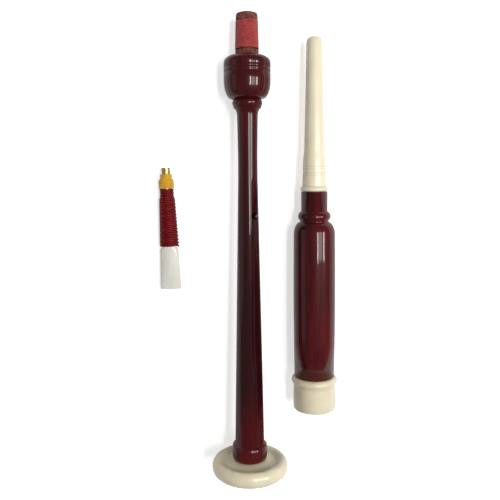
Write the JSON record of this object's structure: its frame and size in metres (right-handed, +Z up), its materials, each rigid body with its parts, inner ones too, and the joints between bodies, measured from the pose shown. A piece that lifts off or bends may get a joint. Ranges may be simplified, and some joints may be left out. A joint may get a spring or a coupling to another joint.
{
  "type": "practice chanter",
  "caption": "Double-reed practice chanter laid out in parts: bored lower section with sole, top section with mouthpiece, and bound reed.",
  "frame": {"origin": "on the table, under the middle of the laid-out parts", "axes": "+Y from the sole towards the tenon's tip, +X from the lower section towards the top section, +Z up from the table"},
  "size_m": [0.1114, 0.2786, 0.0473],
  "materials": {
    "wood": "dark red stain under glossy lacquer",
    "cream_plastic": "satin cream plastic",
    "tenon_thread": "waxed thread",
    "brass": "plain brass tube",
    "yellow_thread": "waxed thread",
    "red_cord": "waxed cord with a soft sheen",
    "reed_plastic": "smooth matt plastic"
  },
  "bodies": {
    "lower_section": {"chanter_body": "wood", "tenon_winding": "tenon_thread", "sole": "cream_plastic"},
    "top_section": {"barrel": "wood", "ferrule": "cream_plastic"},
    "mouthpiece": {"mouthpiece": "cream_plastic", "mouthpiece_winding": "tenon_thread"},
    "reed": {"reed_staple": "brass", "reed_seat_winding": "yellow_thread", "reed_cord": "red_cord", "reed_blade_front": "reed_plastic", "reed_blade_back": "reed_plastic"}
  },
  "joints": [
    {"name": "top_section_lift", "type": "slide", "parent": "lower_section", "child": "top_section", "axis": [0, 0, 1], "range_m": [0, 0.06]},
    {"name": "mouthpiece_pull", "type": "slide", "parent": "top_section", "child": "mouthpiece", "axis": [-0.0152, 0.9997, -0.019], "range_m": [0, 0.017]},
    {"name": "reed_lift", "type": "slide", "parent": "lower_section", "child": "reed", "axis": [0, 0, 1], "range_m": [0, 0.06]}
  ]
}
